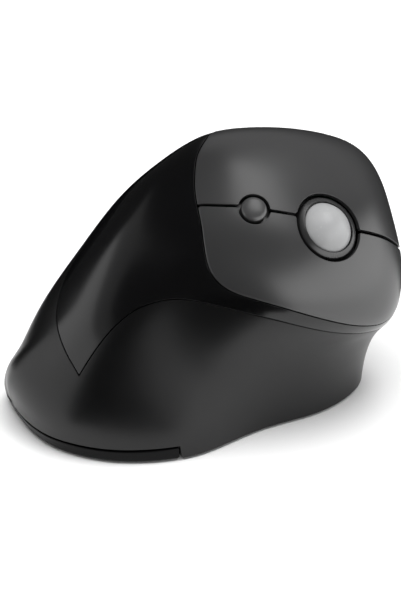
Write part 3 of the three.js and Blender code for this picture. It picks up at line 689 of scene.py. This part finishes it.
def key(name, down_slope, body, node):
    """One key: a soft edge next to the cover, and a wide gap to the other key that closes at the heel."""
    inner = split_side(down_slope)
    if down_slope:
        loop = np.vstack([finger_side[1:-1], inner[::-1]])
        own = np.concatenate([np.ones(len(finger_side) - 2), np.zeros(len(inner))])
    else:
        loop = np.vstack([inner, thumb_side[1:]])
        own = np.concatenate([np.zeros(len(inner)), np.ones(len(thumb_side) - 1)])
    near_cover = np.mean([np.roll(own, k) for k in range(-5, 6)], axis=0)
    along = np.linalg.norm(form(loop)[0] - form([KEY_SPLIT[0]])[0], axis=1)
    split_gap = 0.05 + 0.33 * np.clip(along / 0.9, 0, 1) + 0.12 * along / 55
    shell(name, body, "satin_key", [node], outer=loop, holes=[], rolls=[0.12 + 0.3 * near_cover],
          gaps=[near_cover * 0.14 + (1 - near_cover) * split_gap], lift=KEY_LIFT, thick=KEY_THICK, spacing=mesh_step)


key("left_key_cap", False, "left_key_body", "left_key")
key("right_key_cap", True, "right_key_body", "right_key")


def ribs(p):
    """Soft ribs across the thumb's rest, as heights over its points."""
    height, pitch = 0.14, 2.4
    return height * np.cos(2 * math.pi * p[:, 1] / pitch)


shell("thumb_grip_pad", "chassis", "grip_rubber", ["thumb_grip"], outer=grip_edge, holes=[],
     rolls=[0.3], gaps=[0.17], lift=0.05, spacing=0.6 if fine else 1.5, shape=ribs)
for name, edge, body, node in (("forward_button_cap", forward_edge, "forward_body", "forward_button"),
                               ("back_button_cap", back_edge, "back_body", "back_button")):
    shell(name, body, "thumb_button", [node], outer=edge, holes=[], rolls=[0.45], gaps=[0.17], lift=0.55,
         thick=WALL + 0.4, spacing=0.8)


# ---------------------------------------------------------------- ball, ring and resolution button
def round_ball(z, play):
    """The radius that clears the ball by play, at height z in the ring's frame."""
    return np.sqrt(np.maximum((BALL_R + play) ** 2 - (z - BALL_Z) ** 2, 0))


def turned(name, spot, rows, body, slot, replaces, count=144, cap_start=False, cap_end=False):
    """A body of rows round a spot: (radius, depth under the form), or (radius, None, height in the spot's frame)."""
    a = np.linspace(0, 2 * np.pi, count, endpoint=False)
    circle = np.stack([np.cos(a), np.sin(a)], 1)
    verts, faces = [], []
    for row in rows:
        r = np.full(count, float(row[0]))
        if len(row) == 3:
            z = np.full(count, float(row[2]))
        else:
            for _ in range(2):
                uv = spot.on_form(r[:, None] * circle)
                z = (form(uv)[0] - spot.o) @ spot.z - row[1]
                if row[0] < RING_R and spot is ring_spot:
                    r = np.maximum(r, round_ball(z, 0.25))
        verts.append(spot.world(np.column_stack([r[:, None] * circle, z])))
    total = len(rows)
    for k in range(total - 1 if (cap_start or cap_end) else total):
        first, second = k * count, ((k + 1) % total) * count
        faces += band(np.arange(first, first + count), np.arange(second, second + count))
    verts = np.vstack(verts)
    for wanted, row, flip in ((cap_start, 0, False), (cap_end, total - 1, True)):
        if wanted:
            middle = len(verts)
            verts = np.vstack([verts, verts[row * count:(row + 1) * count].mean(0)])
            for i in range(count):
                j = (i + 1) % count
                tri = (row * count + i, row * count + j, middle)
                faces.append(tri[::-1] if flip else tri)
    solid_piece(name, verts, faces, body, slot, replaces)


def solid_piece(name, verts, faces, body, slot, replaces):
    """A piece whose normals face out, smooth apart from its sharp edges."""
    obj = piece(name, verts, faces, body, FINISHES[slot], replaces)
    tidy_up(obj)
    return obj


EDGE_ANGLE = 40  # degrees; sharper edges aren't smoothed


def tidy_up(obj):
    """Merges double points, turns the normals out and marks the sharp edges."""
    bm = bmesh.new()
    bm.from_mesh(obj.data)
    bmesh.ops.remove_doubles(bm, verts=bm.verts, dist=2e-6)
    bmesh.ops.dissolve_degenerate(bm, edges=bm.edges, dist=1e-6)
    bmesh.ops.recalc_face_normals(bm, faces=bm.faces)
    bm.to_mesh(obj.data)
    bm.free()
    obj.data.shade_smooth()
    obj.data.set_sharp_from_angle(angle=math.radians(EDGE_ANGLE))


turned("ball_ring_bezel", ring_spot, [
    (RING_R + 1.8, None, -5.4), (RING_R + 1.8, None, -4.6), (RING_R, None, -4.6),
    (RING_R, 0.62), (RING_R - 0.04, 0.5), (RING_R - 0.15, 0.4), (RING_R - 0.4, 0.28),
    (RING_R - 0.75, 0.14), (RING_R - 1.05, 0.02), (RING_MOUTH_R + 0.25, -0.04),
    (RING_MOUTH_R + 0.12, -0.02), (RING_MOUTH_R + 0.03, 0.08), (RING_MOUTH_R, 0.25), (RING_MOUTH_R + 0.08, 0.7),
    *((round_ball(z, 0.3), None, z) for z in (-1.3, -2.6, -4.0, -5.4)),
], "chassis", "ring_grey", ["ball_ring"])
turned("dpi_button_cap", dpi_spot, [
    (DPI_HOLE_R + 0.7, None, -3.7), (DPI_HOLE_R + 0.7, None, -3.1), (DPI_R, None, -3.1),
    (DPI_R, 0.1), (DPI_R - 0.06, -0.12), (DPI_R - 0.22, -0.32), (DPI_R - 0.5, -0.5), (DPI_R - 0.95, -0.66),
    (DPI_R - 1.6, -0.78), (DPI_R - 2.4, -0.85), (DPI_R - 3.1, -0.87),
], "dpi_body", "small_button", ["dpi_button"], count=96, cap_start=True, cap_end=True)


def ball_piece():
    """A ball from a cube whose faces are cut finely and pushed out, so its faces stay even all round."""
    bm = bmesh.new()
    bmesh.ops.create_cube(bm, size=2)
    bmesh.ops.subdivide_edges(bm, edges=bm.edges, cuts=40, use_grid_fill=True)
    centre = ring_spot.world([[0, 0, BALL_Z]])[0]
    verts = np.array([tuple(v.co) for v in bm.verts])
    verts = np.tan(verts * math.pi / 4)
    verts = unit(verts) * BALL_R
    turn = np.array([ring_spot.x, ring_spot.y, ring_spot.z])
    faces = [tuple(v.index for v in f.verts) for f in bm.faces]
    bm.free()
    solid_piece("ball_shell", verts @ turn + centre, faces, "ball_body", "ball_grey", ["ball"])


ball_piece()


# ---------------------------------------------------------------- the base and the battery door
SKATE_H, SKATE_GAP, POCKET_TOP = 0.6, 0.3, 0.9
ROUND = 0.8  # radius of the base's lower edge
RIM_EDGE = 0.3  # bevel of the rim's upper edge
SCREW_BORE_R, SCREW_SHANK_R, SCREW_SEAT_Z = 2.5, 1.3, 2.05
SCREWS = [(-22.9, 28.6), (18.6, 26), (-28.4, -12.5), (23.6, -13.5)]
SKATES = {"skate_front": (-2, 38.6, 19, 5.6), "skate_left": (-27.4, 6, 5.2, 20),
          "skate_right": (19.6, 3, 5.2, 20), "skate_rear": (-5, -43.6, 19, 5.6)}
LENS = (-3, 12, 4.95)
SLOT = (-4.5, -8, 7.1, 4.3)


def circle_loop(x, y, r, count=48):
    a = np.linspace(0, 2 * np.pi, count, endpoint=False)
    return np.stack([x + r * np.cos(a), y + r * np.sin(a)], 1)


def stadium_loop(x, y, w, d, grow=0.0, corner=None, count=14):
    """A rectangle of w by d, grown all round, with the given corner radius or else round ends."""
    w, d = w + 2 * grow, d + 2 * grow
    r = min(w, d) / 2 - 0.001 if corner is None else corner
    points = []
    for k, (sx, sy) in enumerate(((1, 1), (-1, 1), (-1, -1), (1, -1))):
        a = np.linspace(k * math.pi / 2, (k + 1) * math.pi / 2, count)
        points.append(np.stack([x + sx * (w / 2 - r) + r * np.cos(a), y + sy * (d / 2 - r) + r * np.sin(a)], 1))
    return np.vstack(points)


def plan_offset(loop, depth):
    """A counter-clockwise plan loop moved inwards."""
    t = unit(np.roll(loop, -1, 0) - np.roll(loop, 1, 0))
    moved = loop - depth * np.stack([t[:, 1], -t[:, 0]], 1)
    flat_moved, flat_loop = (np.column_stack([q, np.zeros(len(q))]) for q in (moved, loop))
    return moved[distance_to(flat_moved, flat_loop) > depth * STAYS]


class Build:
    """Gathers rows of points and faces into one mesh."""

    def __init__(self):
        self.verts, self.faces = [], []

    def row(self, xy, z):
        """Adds a loop of points at height z and returns their numbers."""
        first = len(self.verts)
        z = np.broadcast_to(z, len(xy))
        self.verts += [(p[0], p[1], h) for p, h in zip(xy, z)]
        return np.arange(first, first + len(xy))

    def wall(self, *rows):
        """Joins each row to the next."""
        for a, b in zip(rows, rows[1:]):
            self.faces += band(a, b)

    def plate(self, outer, holes, z, spacing=9.0):
        """A flat face at height z inside outer and outside holes. tidy_up joins its edges to the walls."""
        uv, faces, _ = skin(outer, holes, spacing, np.array([1.0, 1.0]))
        first = len(self.verts)
        self.verts += [(p[0], p[1], z) for p in uv]
        self.faces += [tuple(first + i for i in f) for f in faces]


def base_mesh(door):
    """The base's floor with its pockets and openings: inside the housing's foot, or with the door's own rim."""
    build = Build()
    uv = level_line(BASE_TOP, (5.0, 0.25), 0.8)
    heights = [BASE_TOP, 3.3, 2.6, 1.9, FLOOR_Z + ROUND]
    levels = []
    for z in heights:
        uv = settled(uv, z)
        levels.append(form(uv)[0][:, :2])
    if signed_area(levels[0]) < 0:
        levels = [q[::-1] for q in levels]
    if door:
        along = unit(np.roll(levels[0], -1, 0) - np.roll(levels[0], 1, 0))
        out = np.stack([along[:, 1], -along[:, 0]], 1)
        rim_out, rim_in, under = levels[0] - out * RIM_EDGE, plan_offset(levels[0], WALL), levels[-1] - out * ROUND
        rows = [build.row(rim_out, BASE_TOP), build.row(levels[0] - out * RIM_EDGE * 0.3, BASE_TOP - RIM_EDGE * 0.3),
                build.row(levels[0] * 0.9 + levels[1] * 0.1, BASE_TOP - RIM_EDGE)]
        rows += [build.row(q, z) for q, z in zip(levels[1:], heights[1:])]
        for a in np.linspace(0, math.pi / 2, 5)[1:]:
            rows.append(build.row(levels[-1] - out * ROUND * (1 - math.cos(a)), FLOOR_Z + ROUND * (1 - math.sin(a))))
        build.wall(*rows)
        build.wall(build.row(rim_in, BASE_TOP), build.row(rim_in, TRAY_Z))
        build.plate(rim_out, [rim_in], BASE_TOP)
    else:
        rim_in = under = plan_offset(levels[-1], WALL + 0.4)
        build.wall(build.row(rim_in, TRAY_Z), build.row(rim_in, FLOOR_Z))
    pockets = [stadium_loop(*box, grow=SKATE_GAP) for box in SKATES.values()]
    bores = [circle_loop(x, y, SCREW_BORE_R, 32) for x, y in SCREWS]
    shanks = [circle_loop(x, y, SCREW_SHANK_R, 24) for x, y in SCREWS]
    window, slot = circle_loop(*LENS), stadium_loop(*SLOT, corner=0.6, count=6)
    build.plate(under, pockets + bores + [window, slot], FLOOR_Z)
    build.plate(rim_in, shanks + [window, slot], TRAY_Z)
    for pocket in pockets:
        build.wall(build.row(pocket, FLOOR_Z), build.row(pocket, POCKET_TOP))
        build.plate(pocket, [], POCKET_TOP)
    for bore, shank in zip(bores, shanks):
        build.wall(build.row(bore, FLOOR_Z), build.row(bore, SCREW_SEAT_Z))
        build.plate(bore, [shank], SCREW_SEAT_Z)
        build.wall(build.row(shank, SCREW_SEAT_Z), build.row(shank, TRAY_Z))
    for hole in (window, slot):
        build.wall(build.row(hole, FLOOR_Z), build.row(hole, TRAY_Z))
    return build


def cut_base(name, body, slot, node, y, keep_front):
    """The part of the base in front of y, or the door behind it, with its cut end closed."""
    build = base_mesh(not keep_front)
    obj = solid_piece(name, build.verts, build.faces, body, slot, [node])
    bm = bmesh.new()
    bm.from_mesh(obj.data)
    side = -1 if keep_front else 1
    bmesh.ops.bisect_plane(bm, geom=bm.verts[:] + bm.edges[:] + bm.faces[:], plane_co=(0, y * MM, 0),
                           plane_no=(0, side, 0), clear_outer=True, dist=1e-7)
    rim = [e for e in bm.edges if e.is_boundary]
    bmesh.ops.triangle_fill(bm, edges=rim, use_dissolve=False, normal=(0, side, 0))
    bm.to_mesh(obj.data)
    bm.free()
    tidy_up(obj)


cut_base("base_tray", "chassis", "base_shell", "base_plate", DOOR_FRONT, True)
cut_base("battery_door_cover", "door_body", "door_gloss", "battery_door", DOOR_FRONT - DOOR_GAP, False)


def skate_piece(node, body):
    build = Build()
    rows = [build.row(stadium_loop(*SKATES[node], grow=grow), z)
            for grow, z in ((0, SKATE_H), (0, 0.12), (-0.04, 0.035), (-0.12, 0.0))]
    build.wall(*rows)
    build.plate(stadium_loop(*SKATES[node]), [], SKATE_H)
    build.plate(stadium_loop(*SKATES[node], grow=-0.12), [], 0.0)
    solid_piece(node + "_pad", build.verts, build.faces, body, "skate", [node])


for node in SKATES:
    skate_piece(node, "door_body" if node == "skate_rear" else "chassis")


# ---------------------------------------------------------------- studio
def flat_material(name, colour, roughness):
    material = bpy.data.materials.new(name)
    material.use_nodes = True
    shader = material.node_tree.nodes["Principled BSDF"]
    shader.inputs["Base Color"].default_value = (*colour, 1)
    shader.inputs["Roughness"].default_value = roughness
    shader.inputs["Specular IOR Level"].default_value = 0.0
    return material


def stage_face(name, corners, faces, z, material):
    mesh = bpy.data.meshes.new(name)
    mesh.from_pydata(corners, [], faces)
    mesh.materials.append(material)
    obj = bpy.data.objects.new(name, mesh)
    bpy.context.scene.collection.objects.link(obj)
    obj.location.z = z
    return obj


FLOOR_HALF = 3.0
AIM = Vector((0.0, 0.0, 0.03))  # what the lights point at
stage_face("floor", [(x * FLOOR_HALF, y * FLOOR_HALF, 0) for x, y in ((-1, -1), (1, -1), (1, 1), (-1, 1))],
           [(0, 1, 2, 3)], -0.00005, flat_material("floor_white", (0.9, 0.9, 0.9), 0.9))
card_black = flat_material("card_black", (0.002, 0.002, 0.002), 0.9)


def softbox(name, azimuth, elevation, distance, width, height, glow, mirrored=True):
    """A rectangular light. Azimuth 0 is behind the heel and 90 on the palm's side; glow is its brightness."""
    data = bpy.data.lights.new(name, "AREA")
    data.shape = "RECTANGLE"
    data.size, data.size_y, data.energy = width, height, glow * math.pi * width * height
    obj = bpy.data.objects.new(name, data)
    bpy.context.scene.collection.objects.link(obj)
    a, e = math.radians(azimuth), math.radians(elevation)
    back = Vector((math.sin(a) * math.cos(e), -math.cos(a) * math.cos(e), math.sin(e)))
    obj.location = AIM + back * distance
    obj.rotation_mode = "QUATERNION"
    obj.rotation_quaternion = (-back).to_track_quat("-Z", "Y")
    obj.visible_glossy = mirrored


def dark_card(name, near, start, end, far=2.0):
    """A dark card lying on the floor that only reflections see, from near to far between two azimuths."""
    a = np.radians(np.linspace(start, end, 25))
    rim = np.column_stack([np.sin(a), -np.cos(a), np.zeros(len(a))])
    count = len(a)
    obj = stage_face(name, np.vstack([rim * near, rim * far]).tolist(),
                     [(i, count + i, count + i + 1, i + 1) for i in range(count - 1)], 0.0002, card_black)
    obj.visible_camera = obj.visible_diffuse = obj.visible_shadow = obj.visible_transmission = False


softbox("floor_light", 0, 90, 1.2, 1.3, 1.3, 4.4, mirrored=False)
softbox("overhead", 165, 69, 1.2, 0.95, 0.55, 1.8)
softbox("wall_right", 133, 15, 1.1, 2.5, 0.66, 2.0)
softbox("wall_left", -16, 13, 1.0, 1.45, 0.5, 0.85)
softbox("wall_left_soft", -13, 19, 1.1, 1.9, 0.8, 0.36)
softbox("wall_thumb", -135, 38, 1.2, 1.5, 0.8, 0.3)
dark_card("dark_end_near", 0.072, 20, 78)
dark_card("dark_end_far", 0.15, 78, 92)
dark_card("dark_end_thumb", 0.09, -175, -48)

world = bpy.data.worlds.new("studio")
bpy.context.scene.world = world
world.use_nodes = True
world.node_tree.nodes["Background"].inputs["Color"].default_value = (1, 1, 1, 1)
world.node_tree.nodes["Background"].inputs["Strength"].default_value = 0.035
bpy.context.scene.view_settings.view_transform = "Standard"

camera_data = bpy.data.cameras.new("camera")
camera = bpy.data.objects.new("camera", camera_data)
bpy.context.scene.collection.objects.link(camera)
camera_data.sensor_width = 36
camera_data.lens = 2100 / 601 * 36
camera.location = (0.4586, -0.2048, 0.3192)
camera.rotation_mode = "QUATERNION"
camera.rotation_quaternion = (Vector((0.00765, -0.004085, 0.0342)) - camera.location).to_track_quat("-Z", "Y")
bpy.context.scene.camera = camera

bpy.context.view_layer.update()
